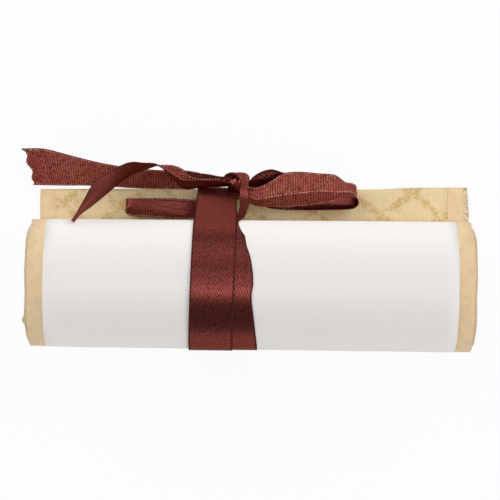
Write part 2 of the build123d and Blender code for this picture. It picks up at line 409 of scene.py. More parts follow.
def stitch_finish():
    """Light stitches of the ribbon's woven edges."""
    finish = Finish("edge_stitch")
    x, y, z = finish.coordinates("Object")
    speck = finish.noise(finish.vector(x, y, z), 900.0, 2.0)
    paint = finish.mix(speck.step(0.3, 0.7), EDGE_STITCH_DARK, EDGE_STITCH_LIGHT)
    return finish.surface(Base_Color=paint, Roughness=0.5, Specular_IOR_Level=0.3)


# Mesh helpers


def add_object(name, data):
    thing = bpy.data.objects.new(name, data)
    bpy.context.scene.collection.objects.link(thing)
    return thing


def make_piece(name, points, faces, coordinates, materials, slots=None):
    """An object from points, quads, the surface place of each point, and its materials."""
    mesh = bpy.data.meshes.new(name)
    mesh.from_pydata([tuple(point) for point in points], [], faces)
    layer = mesh.uv_layers.new(name="surface")
    loops = np.empty(len(mesh.loops), dtype=np.int32)
    mesh.loops.foreach_get("vertex_index", loops)
    places = np.asarray(coordinates, dtype=np.float32)[loops]
    layer.data.foreach_set("uv", places.ravel())
    for material in materials:
        mesh.materials.append(material)
    if slots is not None:
        mesh.polygons.foreach_set("material_index", slots)
    mesh.polygons.foreach_set("use_smooth", [True] * len(mesh.polygons))
    mesh.update()
    return add_object(name, mesh)


def slab_faces(rows, columns, first=0, ring=False):
    """Quads of a thin slab whose sides are two grids, the outer one first, and the side of each.

    The quads round the slab's rim count as outer ones. A ring has none at its ends, because its
    last row lies on its first.
    """
    faces = []
    sides = []

    def add(*corners, side=0):
        faces.append([first + (grid * rows + row) * columns + column for grid, row, column in corners])
        sides.append(side)

    for row in range(rows - 1):
        for column in range(columns - 1):
            around = ((row, column), (row, column + 1), (row + 1, column + 1), (row + 1, column))
            add(*[(0, *corner) for corner in around])
            add(*[(1, *corner) for corner in reversed(around)], side=1)
        for column, near, far in ((0, 1, 0), (columns - 1, 0, 1)):
            add((near, row, column), (far, row, column), (far, row + 1, column), (near, row + 1, column))
    for row, near, far in () if ring else ((0, 0, 1), (rows - 1, 1, 0)):
        for column in range(columns - 1):
            add((near, row, column), (far, row, column), (far, row, column + 1), (near, row, column + 1))
    return faces, sides


def weld(mesh, indices):
    """Join those of some points of a mesh that lie at the same place."""
    shape = bmesh.new()
    shape.from_mesh(mesh)
    shape.verts.ensure_lookup_table()
    chosen = [shape.verts[index] for index in indices]
    bmesh.ops.remove_doubles(shape, verts=chosen, dist=0.002 * MM)
    shape.to_mesh(mesh)
    shape.free()


# The rolled sheet


def roll_stations(steps):
    """Distance, place on the outer face and outward direction along the wound sheet."""
    stations = []
    flap_length = FLAP_REACH + FLAT_WIDTH / 2
    for index in range(FLAP_STEPS):
        run = flap_length * index / FLAP_STEPS
        stations.append((run, FLAP_REACH - run, ROLL_BOTTOM, 0.0, -1.0))
    distance = flap_length
    half_turns = 2 * TURNS
    for index in range(ceil(half_turns)):
        centre = REAR_CENTRE if index % 2 else FRONT_CENTRE
        radius = ROLL_RADIUS - index * TURN_PITCH / 2
        start = 90 if index % 2 else 270
        share = min(1.0, half_turns - index)
        if index > 0:
            distance += FLAT_WIDTH
        count = max(2, round(steps * share))
        for step in range(count + 1):
            angle = radians(start - 180 * share * step / count)
            out = (cos(angle), sin(angle))
            run = distance + radius * pi * share * step / count
            place = (centre[0] + radius * out[0], centre[1] + radius * out[1])
            stations.append((run, *place, *out))
        distance += radius * pi * share
    return stations


SHEET_LENGTH = roll_stations(8)[-1][0]


def settled(sizes, x, y, z, flap=0.0):
    """A place on the ideal roll moved to where the real, slightly uneven one has it."""
    share = (x - SHEET_X) / (SHEET_WIDTH / 2)
    growth = 1 + sizes.taper * share
    y = y * (growth if flap == 0 else 1.0) + flap**3 * sizes.flap_skew * share
    return (x, y, ROLL_BOTTOM + (z - ROLL_BOTTOM) * growth)


def cinch(x, y):
    """How far the ribbon pulls the flap's back edge towards the roll."""
    middle = np.exp(-(((x - 2 * MM) / (11 * MM)) ** 4))
    return -1.3 * MM * middle * ease(y, 28 * MM, FLAP_REACH)


def flap_wave(x, reach):
    """Shift of the flap's back edge along the sheet, and its lift off the table."""
    dip = np.exp(-(((x - SHEET_X) / MM - 55) / 14) ** 2)
    lift = 0.35 * MM * (1 + sin(x / (21 * MM) + 0.7)) * reach**2
    return cinch(x, reach * FLAP_REACH) - 0.8 * MM * dip * reach**2, lift


def end_shift(sizes, run, share):
    """How far an end of the backing lies beyond a plain cut, for a share of -1 to 1 across."""
    flap = 1 - ease(run, 52 * MM, 64 * MM)
    inner = ease(run, 255 * MM, 292 * MM) * (1 - ease(run, 325 * MM, 368 * MM))
    torn = 1.2 * MM * exp(-(((run - 294 * MM) / (2 * MM)) ** 2))
    wobble = 0.12 * MM * sin(run / (3.1 * MM)) + 0.16 * MM * sin(run / (7.3 * MM))
    left = 0.5 * MM * (1 - flap) + sizes.telescope * inner + torn
    widening = 0.75 + 0.35 * ease(run, 0.0, 18 * MM)
    right = sizes.woven_edge * widening * flap + 0.5 * MM * (1 - flap) + sizes.telescope * inner
    if share < 0:
        return -(left + wobble) * share**16
    return (right + wobble) * share**16


def sheet_piece(name, outer_depth, thickness, margin, material):
    """One layer of the sheet, wound up, as a closed thin slab."""
    sizes = bpy.context.scene.scroll_sheet
    stations = roll_stations(HALF_TURN_STEPS)
    half = SHEET_WIDTH / 2 - margin
    points = []
    places = []
    for depth in (outer_depth, outer_depth + thickness):
        for run, y, z, out_y, out_z in stations:
            flap = max(0.0, y / FLAP_REACH) if out_z == -1.0 and z == ROLL_BOTTOM else 0.0
            reach = max(0.0, (flap - 0.55) / 0.45)
            for column in range(SHEET_COLUMNS):
                share = 2 * column / (SHEET_COLUMNS - 1) - 1
                x = SHEET_X + half * share
                if margin == 0.0:
                    x += end_shift(sizes, run, share)
                back, lift = flap_wave(x, reach)
                point = (x, y - out_y * depth, z - out_z * depth)
                x1, y1, z1 = settled(sizes, *point, flap)
                points.append((x1, y1 + back, z1 + lift))
                places.append((x - SHEET_X, run))
    faces, _ = slab_faces(len(stations), SHEET_COLUMNS)
    return make_piece(name, points, faces, places, [material])


class SCROLL_OT_backing(bpy.types.Operator):
    """Make the tan paper that the two panels are glued to"""

    bl_idname = "scroll.backing"
    bl_label = "Tan backing"

    def execute(self, context):
        material = tan_paper_finish(context.scene.scroll_finishes)
        piece = sheet_piece("backing", WHITE_THICKNESS, TAN_THICKNESS, 0.0, material)
        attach(piece, "root")
        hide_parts("tan_backing")
        return {"FINISHED"}


class SCROLL_OT_white_panel(bpy.types.Operator):
    """Make the white paper panel on the outer face"""

    bl_idname = "scroll.white_panel"
    bl_label = "White panel"

    def execute(self, context):
        material = white_paper_finish(context.scene.scroll_finishes)
        piece = sheet_piece("white_face", 0.0, WHITE_THICKNESS, WHITE_MARGIN, material)
        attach(piece, "root")
        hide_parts("white_panel")
        return {"FINISHED"}


class SCROLL_OT_brocade(bpy.types.Operator):
    """Make the brocade on the inner face"""

    bl_idname = "scroll.brocade"
    bl_label = "Brocade"

    def execute(self, context):
        material = brocade_finish(context.scene.scroll_finishes)
        depth = WHITE_THICKNESS + TAN_THICKNESS
        piece = sheet_piece("brocade_face", depth, BROCADE_THICKNESS, BROCADE_MARGIN, material)
        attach(piece, "root")
        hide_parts("brocade_panel")
        return {"FINISHED"}


# The ribbon

# How far each wrap is turned on the roll, in degrees
UPPER_BAND_TURN = -1.7
LOWER_BAND_TURN = 7.7
# Angle on the roll's back, in degrees, from which the lower wrap is flat
LOWER_BAND_START = 48.0
LOWER_BAND_X = 6.2 * MM
KNOT_X = 11.1 * MM
KNOT_LENGTH = 9.5 * MM
KNOT_RADIUS = 4.0 * MM
KNOT_CENTRE = Vector((KNOT_X - 0.6 * MM, FLAP_REACH + 1.4 * MM, FLAP_TOP + 4.6 * MM))
KNOT_ROWS = 72
KNOT_COLUMNS = 29
STITCH_SEED = 4
# Air that the ribbon keeps above the table
TABLE_GAP = 0.02 * MM
# Distance from the knot over which the folds of loops and tails die away
FOLD_REACH = 22 * MM
# Steps of a wrap over the roll's back, round its front, under it, round the flap's edge and up again
BACK_STEPS = 24
FRONT_STEPS = 48
UNDER_STEPS = 16
EDGE_STEPS = 8
RISE_STEPS = 20
# Where among its places a wrap has left the roll's front for its underside
UNDER_ROLL = BACK_STEPS + FRONT_STEPS + 6


class Strip:
    """A mesh that collects lengths of ribbon, each a thin slab with folds across it."""

    columns = 33

    def __init__(self, sizes):
        self.sizes = sizes
        self.points = []
        self.places = []
        self.faces = []
        self.slots = []
        self.seams = []
        self.joints = []
        self.run = 0.0

    def add(self, sections, folds, phase, level=False, ring=False, crease=0.0, frayed=0.0):
        """Each section holds its front edge, middle and back edge; frayed is how ragged its last end is.

        The crease is the share of a sharp fold along the middle. A level length is a wrap: its
        rows stay along the roll, its folds only rise, and its satin face is the outer one.
        Elsewhere the folds fade away from the knot and the satin face is the inner one. A
        ring's last section is its first one again.
        """
        first = len(self.points)
        rows = len(sections)
        middle = np.array(sections)[:, 1]
        steps = np.linalg.norm(np.diff(middle, axis=0), axis=1)
        run = np.concatenate([[0.0], np.cumsum(steps)])[:, None]
        u = np.linspace(0, 1, self.columns)[None, :]
        grid = section_grid(sections, u[:, :, None], crease)
        height = self.fold_height(grid, folds)
        if not level:
            away = abs(middle[:, :1] - KNOT_X) / FOLD_REACH
            height = height * np.clip(1.25 - away, 0.12, 1)
        wave = fold_wave(u, run, folds, phase, level)
        grid = grid + surface_normals(grid, level) * (height * wave)[:, :, None]
        fray(grid, u[0], frayed)
        half = surface_normals(grid, level) * (self.sizes.thickness / 2)
        places = np.broadcast_arrays((u - 0.5) * self.sizes.width, run + self.run)
        places = np.stack(places, axis=2).reshape(-1, 2)
        for side in (grid + half, grid - half):
            side[:, :, 2] = np.maximum(side[:, :, 2], TABLE_GAP)
            self.points += list(side.reshape(-1, 3))
            self.places += list(places)
        if not level:
            lines = (1, self.columns // 2, -2) if crease > 0.5 else (1, -2)
            self.seams += [(grid + half)[:, column] for column in lines]
        if ring:
            for row in (0, rows - 1, rows, 2 * rows - 1):
                start = first + row * self.columns
                self.joints += range(start, start + self.columns)
        faces, sides = slab_faces(rows, self.columns, first, ring)
        self.faces += faces
        self.slots += [side if level else 1 - side for side in sides]
        self.run += float(run[-1, 0])

    def fold_height(self, grid, folds):
        """How high the folds of each row rise, from the width that the row has lost."""
        across = np.linalg.norm(np.diff(grid, axis=1), axis=2).sum(axis=1)[:, None]
        missing = np.clip(1 - across / self.sizes.width, 0, 1)
        return self.sizes.fullness * across / (pi * folds) * missing

    def take(self, mesh, slot):
        """Add the faces of another mesh, all with one material."""
        first = len(self.points)
        self.points += [vertex.co.copy() for vertex in mesh.vertices]
        self.places += [(0.0, 0.0)] * len(mesh.vertices)
        for polygon in mesh.polygons:
            self.faces.append([first + index for index in polygon.vertices])
            self.slots.append(slot)


def section_grid(sections, u, crease):
    """Rows of points across the sections, on curves that are bent sharply by the share of crease."""
    front, middle, back = (np.array(sections)[:, index, None, :] for index in range(3))
    curved = front * (2 * u * u - 3 * u + 1) + middle * (4 * u - 4 * u * u) + back * (2 * u * u - u)
    near = np.clip(1 - 2 * u, 0, 1)
    far = np.clip(2 * u - 1, 0, 1)
    creased = front * near + middle * (1 - abs(2 * u - 1)) + back * far
    return curved * (1 - crease) + creased * crease


def fold_wave(u, run, folds, phase, level):
    """The folds' shape, from -1 to 1, or from 0 to 1 on a wrap."""
    sway = 0.1 * np.sin(6 * u + run * 110 + phase)
    wave = np.sin(2 * pi * (folds * (u + sway) + phase + 3.5 * run))
    wave = wave * (0.75 + 0.25 * np.sin(2 * pi * (0.9 * u + phase) + 60 * run))
    return (wave + 1) / 2 if level else wave


def fray(grid, u, depth):
    """Move the last rows of a grid along X, each point by its own share of the depth."""
    ragged = 0.5 + 0.5 * np.sin(14 * u + 2.24) + 0.35 * abs(np.sin(61 * u))
    ragged = ragged * np.clip(14 * u * (1 - u), 0, 1)
    for back, share in ((1, 1.0), (2, 0.6), (3, 0.25)):
        grid[-back, :, 0] += depth * share * ragged


def surface_normals(grid, level):
    """Unit vectors square to a grid of points."""
    ahead = np.gradient(grid, axis=0)
    if level:
        ahead[:, :, 0] = 0.0
    normals = np.cross(np.gradient(grid, axis=1), ahead)
    return normals / np.maximum(np.linalg.norm(normals, axis=2, keepdims=True), 1e-12)


def between(keys, steps):
    """Rows of numbers on a smooth line through the keys."""
    rows = np.array(keys, dtype=float)
    gaps = np.sqrt(np.linalg.norm(np.diff(rows, axis=0), axis=1))
    times = np.concatenate([[0.0], np.cumsum(gaps)])
    slopes = np.gradient(rows, times, axis=0)
    result = []
    for index in range(len(rows) - 1):
        span = times[index + 1] - times[index]
        for step in range(steps):
            t = step / steps
            row = (2 * t**3 - 3 * t**2 + 1) * rows[index] + (3 * t**2 - 2 * t**3) * rows[index + 1]
            bend = (t**3 - 2 * t**2 + t) * slopes[index] + (t**3 - t**2) * slopes[index + 1]
            result.append(row + span * bend)
    result.append(rows[-1])
    return result


def on_circle(centre, radius, angle):
    """The place on a circle at an angle in degrees."""
    return (centre[0] + radius * cos(radians(angle)), centre[1] + radius * sin(radians(angle)))


def tangent_angle():
    """Angle at which a line from the flap's back edge touches the back of the roll."""
    span_y = FLAP_REACH - REAR_CENTRE[0]
    span_z = ROLL_BOTTOM + SHEET_THICKNESS / 2 - REAR_CENTRE[1]
    lean = acos((REAR_RADIUS - SHEET_THICKNESS / 2) / sqrt(span_y**2 + span_z**2))
    return degrees(atan2(span_z, span_y) + lean)


def arc(centre, radius, start, turn, steps):
    """Places on a circle, from an angle on through a turn."""
    return [on_circle(centre, radius, start + turn * step / steps) for step in range(steps + 1)]


def straight(first, last, shares):
    """Places at some shares of the way from one place to another."""
    return [tuple(a + (b - a) * share for a, b in zip(first, last)) for share in shares]


def band_line(offset, start, end):
    """Places of a ribbon round roll and flap, from an angle on the roll's back over the top.

    The end is its share of the last stretch, from the flap's edge up to the roll.
    """
    edge_centre = (FLAP_REACH, ROLL_BOTTOM + SHEET_THICKNESS / 2)
    leave = tangent_angle()
    edge = arc(edge_centre, SHEET_THICKNESS / 2 + offset, 270, 90 + leave, EDGE_STEPS)
    touch = on_circle(REAR_CENTRE, REAR_RADIUS + offset, leave)
    over = arc(REAR_CENTRE, REAR_RADIUS + offset, start, 90 - start, BACK_STEPS)
    front = arc(FRONT_CENTRE, ROLL_RADIUS + offset, 90, 180, FRONT_STEPS)
    under = straight(front[-1], edge[0], [step / UNDER_STEPS for step in range(1, UNDER_STEPS)])
    rise = straight(edge[-1], touch, [step / RISE_STEPS * end for step in range(1, RISE_STEPS + 1)])
    return over + front + under + edge + rise


def ease(value, low, high):
    """0 below low, 1 above high, and a smooth slope between them."""
    share = min(1.0, max(0.0, (value - low) / (high - low)))
    return share * share * (3 - 2 * share)


def level_section(place, width):
    """A section of a wrap, along the roll."""
    centre = np.array(place)
    side = np.array((width / 2, 0.0, 0.0))
    return (centre + side, centre, centre - side)


def cinched(place, x, y):
    """A place on a wrap moved with the flap's edge, less so higher up."""
    return (place[0], place[1] + cinch(x, y) * (1 - ease(place[2], 4 * MM, 22 * MM)), place[2])


def bulge(y):
    """How far the lower wrap's edge bows out sideways over the roll's top."""
    return 2.1 * MM * exp(-(((y - 4 * MM) / (9.5 * MM)) ** 4)) + 0.7 * MM * ease(y, 8 * MM, 18 * MM)


def bow_out(z, side):
    """How far the upper wrap bows out above the flap's edge, longer on its left side."""
    foot = (5.2 - 2.8 * side) * MM
    share = min(1.0, max(0.0, z - 0.4 * MM) / foot)
    swell = 0.5 * foot * (1 - (1 - share) ** 2) * (1 - ease(z, foot, 44 * MM))
    return np.array((0.0, 0.5 * swell, 0.87 * swell))


def upper_wrap(sheet_sizes, sizes):
    """Sections of the wrap on top, a ring that is closed under the roll."""
    offset = sizes.thickness * 1.5 + 2 * sizes.gap
    line = band_line(offset, tangent_angle(), 0.98)
    line = line[UNDER_ROLL:] + line[: UNDER_ROLL + 1]
    sections = []
    for y, z in line:
        rising = ease(y, 26 * MM, 47 * MM) * ease(z, 0.4 * MM, 2 * MM)
        x = -y * tan(radians(UPPER_BAND_TURN)) - 0.2 * MM - 0.3 * MM * rising
        place = cinched(settled(sheet_sizes, x, y, z), x, y)
        section = level_section(place, sizes.width * (1 - 0.1 * rising))
        if y > 24 * MM:
            section = [point + bow_out(z, side) for point, side in zip(section, (1, 0, -1))]
        sections.append(section)
    return sections


def lower_band_x(y):
    """Where the middle of the lower wrap lies along X, as it slants over the roll."""
    return LOWER_BAND_X - y * tan(radians(LOWER_BAND_TURN))


def from_knot(x, y, z):
    """A place that is given in millimetres from the top of the flap's back edge at the knot."""
    return (KNOT_X + x * MM, FLAP_REACH + y * MM, FLAP_TOP + z * MM)


# Places of the strand that runs to the knot and its width there, in millimetres
GATHERED_STRAND = (
    (-3.8, 2.2, 1.4, 4.5),
    (-4.7, 4.4, 4.2, 5.0),
    (-3.2, 5.6, 7.6, 5.6),
    (-0.4, 5.8, 9.5, 6.0),
    (1.8, 4.4, 10.2, 5.6),
    (2.6, 1.6, 10.1, 4.2),
    (2.3, -2.2, 9.8, 3.6),
    (2.4, -5.6, 10.9, 4.2),
    (2.7, -8.7, 13.4, 4.4),
    (2.2, -12.1, 17.4, 3.8),
    (1.2, -15.0, 22.2, 4.2),
    (-0.4, -17.4, 27.0, 6.0),
    (-2.2, -18.5, 32.0, 7.8),
)


def lower_wrap(sheet_sizes, sizes):
    """Sections of the wrap underneath, from the knot over the roll and back under the flap."""
    offset = sizes.gap + sizes.thickness / 2
    full = sizes.width / cos(radians(LOWER_BAND_TURN))
    keys = [(*from_knot(x, y, z), width * MM) for x, y, z, width in GATHERED_STRAND]
    for step in range(8, -1, -1):
        gather = step / 8
        y, z = on_circle(REAR_CENTRE, REAR_RADIUS + offset, LOWER_BAND_START + 1.5 - 27 * gather)
        x = lower_band_x(y) + 3.7 * MM * gather**2 + bulge(y) * (1 - gather)
        keys.append((x, y, z, full * (0.99 - 0.5 * gather)))
    sections = [level_section(settled(sheet_sizes, *row[:3]), row[3]) for row in between(keys, 4)]
    for y, z in band_line(offset, LOWER_BAND_START + 4, 0.12):
        tucked = ease(y, 30 * MM, 47 * MM)
        x = lower_band_x(y) + 2.2 * MM * tucked
        if z > ROLL_BOTTOM + ROLL_RADIUS:
            x += bulge(y)
        place = cinched(settled(sheet_sizes, x, y, z), x, y)
        sections.append(level_section(place, full * (0.99 - 0.25 * tucked)))
    return sections


def bow_sections(rows):
    """Sections from rows of x, then y and z of the front edge, the middle and the back edge.

    The last number of a row is how much further along X its back edge lies than its front one.
    """
    keys = []
    for x, *rest, slant in rows:
        for y, z, share in zip(rest[0::2], rest[1::2], (-0.5, 0.0, 0.5)):
            keys.append(from_knot(x + share * slant, y, z))
    return np.array(keys).reshape(-1, 3, 3)


def smooth_sections(sections, steps):
    """The sections with more of them between, on smooth lines."""
    flat = np.array(sections).reshape(-1, 9)
    return np.array(between(flat, steps)).reshape(-1, 3, 3)


def loop(lower_rows, upper_rows, reach):
    """Sections of a loop: its lower strand out, round its end, and its upper strand back."""
    lower = bow_sections(lower_rows)
    upper = bow_sections(upper_rows)
    middle = (lower[-1] + upper[0]) / 2
    rise = (upper[0] - lower[-1]) / 2
    turned = []
    for angle in (-60, -30, 0, 30, 60):
        out, up = on_circle((0.0, 0.0), 1.0, angle)
        turned.append(middle + rise * up + np.array((reach * out, 0.0, 0.0)))
    return smooth_sections([*lower, *turned, *upper], 7)


# Rows for the bow's sections, in millimetres from the knot
RIGHT_LOOP_OUT = (
    (3.2, -4.2, 3.5, -2.0, 1.5, 0.5, 4.0, -0.1),
    (7.7, -7.4, 2.5, -3.8, 0.9, 5.1, 7.5, -0.6),
    (14.6, -9.6, 1.7, -5.6, 0.8, 7.8, 9.5, -0.3),
    (21.0, -10.1, 1.7, -8.7, 0.8, 6.7, 7.5, -0.7),
    (28.8, -10.5, 3.6, -8.0, 0.7, 5.4, 3.5, -0.2),
    (39.3, -10.6, 5.2, -7.9, 0.6, 3.5, 2.3, -0.1),
    (47.6, -10.4, 5.8, -7.8, 0.6, 1.2, 2.5, -0.5),
    (51.6, -10.1, 5.9, -7.7, 0.9, -0.7, 2.9, -1.0),
)
RIGHT_LOOP_BACK = (
    (51.1, -3.7, 8.0, -2.3, 9.5, 2.3, 7.5, -1.4),
    (45.2, -6.1, 8.1, -2.8, 11.5, 5.6, 8.5, -0.1),
    (37.2, -8.2, 7.1, -2.5, 12.1, 6.2, 9.0, -0.2),
    (28.7, -9.0, 6.3, -3.6, 12.1, 6.8, 9.3, -0.2),
    (20.7, -9.3, 5.7, -4.5, 11.5, 5.9, 9.5, -0.2),
    (13.6, -9.5, 5.3, -5.7, 10.9, 1.4, 9.0, -0.2),
    (8.0, -9.3, 5.1, -6.3, 9.5, -0.9, 8.0, -0.1),
    (3.3, -7.3, 5.3, -3.8, 8.0, -0.3, 6.5, -0.1),
)
LEFT_LOOP_OUT = (
    (3.2, -2.3, 3.5, -1.1, 1.9, 0.6, 3.5, 0.0),
    (-5.7, -9.4, 2.5, -8.4, 1.5, -4.2, 3.0, 0.9),
    (-15.9, -14.0, 1.5, -12.8, 0.8, -6.6, 2.5, 0.4),
    (-25.6, -15.1, 2.6, -12.1, 0.6, -5.8, 1.5, -0.1),
    (-37.4, -15.0, 4.2, -11.1, 0.5, -5.4, 1.1, -0.2),
    (-49.6, -14.5, 4.6, -10.6, 0.6, -5.7, 1.5, 0.3),
)
LEFT_LOOP_BACK = (
    (-50.2, -10.8, 6.9, -8.9, 7.4, -6.6, 7.2, 0.4),
    (-44.6, -11.1, 6.9, -8.9, 7.4, -6.7, 7.3, 0.5),
    (-39.2, -11.9, 6.5, -9.5, 7.1, -7.0, 7.0, 0.0),
    (-32.6, -13.2, 5.9, -10.5, 6.5, -7.2, 6.5, 0.0),
    (-26.0, -14.2, 5.3, -11.1, 5.9, -7.5, 5.9, 0.0),
    (-18.4, -14.1, 4.3, -11.0, 4.9, -7.3, 4.9, 0.0),
    (-11.1, -10.5, 2.9, -7.9, 4.7, -5.0, 4.5, 0.4),
    (-3.1, -4.3, 3.5, -3.0, 4.5, -1.0, 4.0, 0.4),
)
FLAT_TAIL = (
    (-3.4, 2.9, 2.5, 3.6, 5.0, 4.2, 7.5, 0.0),
    (-8.1, 2.9, 1.0, 3.2, 4.5, 3.7, 8.0, 0.0),
    (-16.2, 1.5, 0.6, 3.9, 4.5, 5.6, 8.0, 0.0),
    (-26.6, -0.7, 0.5, 3.4, 4.0, 7.1, 8.0, 0.0),
    (-37.9, -0.8, 0.5, 2.9, 4.0, 6.9, 8.5, 0.0),
    (-49.9, -0.6, 0.5, 3.1, 5.5, 7.7, 9.8, 0.0),
    (-62.2, 0.0, 0.4, 4.3, 7.0, 9.0, 12.5, 0.0),
    (-73.9, 0.5, -0.9, 6.1, 5.5, 11.6, 12.0, -0.2),
    (-83.0, 0.4, -0.9, 7.1, 4.0, 14.3, 10.5, -1.6),
    (-91.0, 0.4, -0.9, 8.6, 3.5, 16.5, 9.0, -3.4),
    (-100.6, 0.5, -0.9, 8.5, 3.0, 16.5, 8.5, -5.0),
)
RAISED_TAIL = (
    (-3.4, 1.4, 11.0, -0.2, 5.0, 3.0, 6.5, 0.0),
    (-10.0, 2.2, 11.5, -0.9, 7.0, 3.4, 8.5, -0.1),
    (-18.4, 2.0, 12.5, -1.4, 7.8, 3.3, 9.5, -0.1),
    (-23.1, 1.6, 13.5, -2.1, 8.4, 4.4, 9.3, -0.1),
    (-26.7, 1.5, 15.5, -1.7, 9.3, 7.4, 9.4, 0.2),
    (-29.8, 2.9, 18.5, 1.0, 12.3, 8.6, 10.8, 0.4),
    (-33.2, 4.9, 22.5, 4.5, 15.8, 8.8, 13.8, 0.8),
    (-38.6, 7.2, 28.5, 7.4, 22.5, 8.1, 15.5, 0.1),
    (-43.7, 7.2, 31.5, 6.5, 25.5, 6.0, 18.5, 1.3),
    (-49.0, 7.2, 33.0, 5.2, 27.5, 3.7, 21.5, 2.0),
    (-54.0, 4.8, 34.5, 2.1, 29.5, 0.4, 24.5, 3.0),
    (-58.9, 1.3, 36.0, -1.8, 32.0, -3.5, 27.5, 4.0),
    (-64.1, -3.3, 37.5, -6.6, 34.5, -8.2, 31.0, 5.0),
    (-68.9, -10.8, 39.0, -12.5, 37.0, -13.7, 35.0, 3.4),
    (-73.3, -17.6, 40.5, -18.1, 39.8, -18.5, 39.0, 1.6),
    (-75.5, -21.2, 42.0, -21.6, 41.7, -22.1, 41.3, 1.2),
)


def add_knot(strip):
    """The band of ribbon pulled round the bow's middle, with a ridge for each gather."""
    first = len(strip.points)
    for row in range(KNOT_ROWS):
        angle = 2 * pi * row / KNOT_ROWS
        skew = 0.9 * MM * sin(angle + 0.6)
        for column in range(KNOT_COLUMNS):
            u = column / (KNOT_COLUMNS - 1) - 0.5
            inside = 1 - 2 * abs(u)
            barrel = 1 - (2 * abs(u)) ** 2.6 * 0.5
            ridge = 0.07 * sin(2 * pi * (5.2 * u + 0.16 * sin(angle + 1.3)))
            lump = 0.07 * sin(angle * 2 + 5 * u + 0.6)
            radius = KNOT_RADIUS * (barrel + ridge * inside + lump * (0.5 - abs(u)))
            x = u * KNOT_LENGTH + skew * inside
            strip.points.append(KNOT_CENTRE + Vector((x, radius * cos(angle), radius * sin(angle))))
            strip.places.append((u * strip.sizes.width, angle * KNOT_RADIUS))
    for row in range(KNOT_ROWS):
        after = (row + 1) % KNOT_ROWS
        for column in range(KNOT_COLUMNS - 1):
            corners = ((row, column), (after, column), (after, column + 1), (row, column + 1))
            strip.faces.append([first + r * KNOT_COLUMNS + c for r, c in corners])
    ends = [range(first + column, len(strip.points), KNOT_COLUMNS) for column in (0, KNOT_COLUMNS - 1)]
    strip.faces += [list(reversed(ends[0])), list(ends[1])]
    strip.slots += [0] * (KNOT_ROWS * (KNOT_COLUMNS - 1) + 2)


def stitch_tree():
    """Geometry nodes that set small stitches at even steps along lines."""
    tree = bpy.data.node_groups.new("edge_stitches", "GeometryNodeTree")
    kinds = {"Lines": "Geometry", "Pitch": "Float", "Size": "Float", "Seed": "Int", "Finish": "Material"}
    for name, kind in kinds.items():
        tree.interface.new_socket(name, in_out="INPUT", socket_type="NodeSocket" + kind)
    tree.interface.new_socket("Stitches", in_out="OUTPUT", socket_type="NodeSocketGeometry")
    nodes = Nodes(tree)
    start = nodes.node("NodeGroupInput").outputs
    curve = nodes.node("GeometryNodeMeshToCurve", {"Mesh": start["Lines"]})
    inputs = {"Curve": curve.outputs["Curve"], "Length": start["Pitch"]}
    points = nodes.node("GeometryNodeCurveToPoints", inputs, mode="LENGTH").outputs
    ball = nodes.node("GeometryNodeMeshIcoSphere", {"Radius": start["Size"]})
    inputs = {"Geometry": ball.outputs["Mesh"], "Scale": (0.75, 0.75, 1.25)}
    stitch = nodes.node("GeometryNodeTransform", inputs)
    # Inputs 2 and 3 are the least and the most of a plain random number
    inputs = {2: 0.7, 3: 1.1, "Seed": start["Seed"]}
    size = nodes.node("FunctionNodeRandomValue", inputs)
    inputs = {"Points": points["Points"], "Rotation": points["Rotation"], "Scale": size.outputs[1]}
    inputs["Instance"] = stitch.outputs["Geometry"]
    spread = nodes.node("GeometryNodeInstanceOnPoints", inputs)
    inputs = {"Geometry": spread.outputs["Instances"]}
    real = nodes.node("GeometryNodeRealizeInstances", inputs)
    inputs = {"Geometry": real.outputs["Geometry"], "Material": start["Finish"]}
    painted = nodes.node("GeometryNodeSetMaterial", inputs)
    nodes.node("NodeGroupOutput", {"Stitches": painted.outputs["Geometry"]})
    return tree


def edge_stitches(sizes, seams, material):
    """The stitches along the seams, as a plain mesh."""
    points = []
    edges = []
    for seam in seams:
        first = len(points)
        points += [tuple(point) for point in seam]
        edges += [(index, index + 1) for index in range(first, len(points) - 1)]
    mesh = bpy.data.meshes.new("seam_lines")
    mesh.from_pydata(points, edges, [])
    lines = add_object("seam_lines", mesh)
    tree = stitch_tree()
    modifier = lines.modifiers.new("Stitches", "NODES")
    modifier.node_group = tree
    values = {"Pitch": sizes.dot_pitch, "Size": sizes.dot_size, "Seed": STITCH_SEED, "Finish": material}
    for item in tree.interface.items_tree:
        if item.name in values and item.in_out == "INPUT":
            modifier[item.identifier] = values[item.name]
    depsgraph = bpy.context.evaluated_depsgraph_get()
    made = bpy.data.meshes.new_from_object(lines.evaluated_get(depsgraph))
    bpy.data.objects.remove(lines)
    bpy.data.meshes.remove(mesh)
    return made


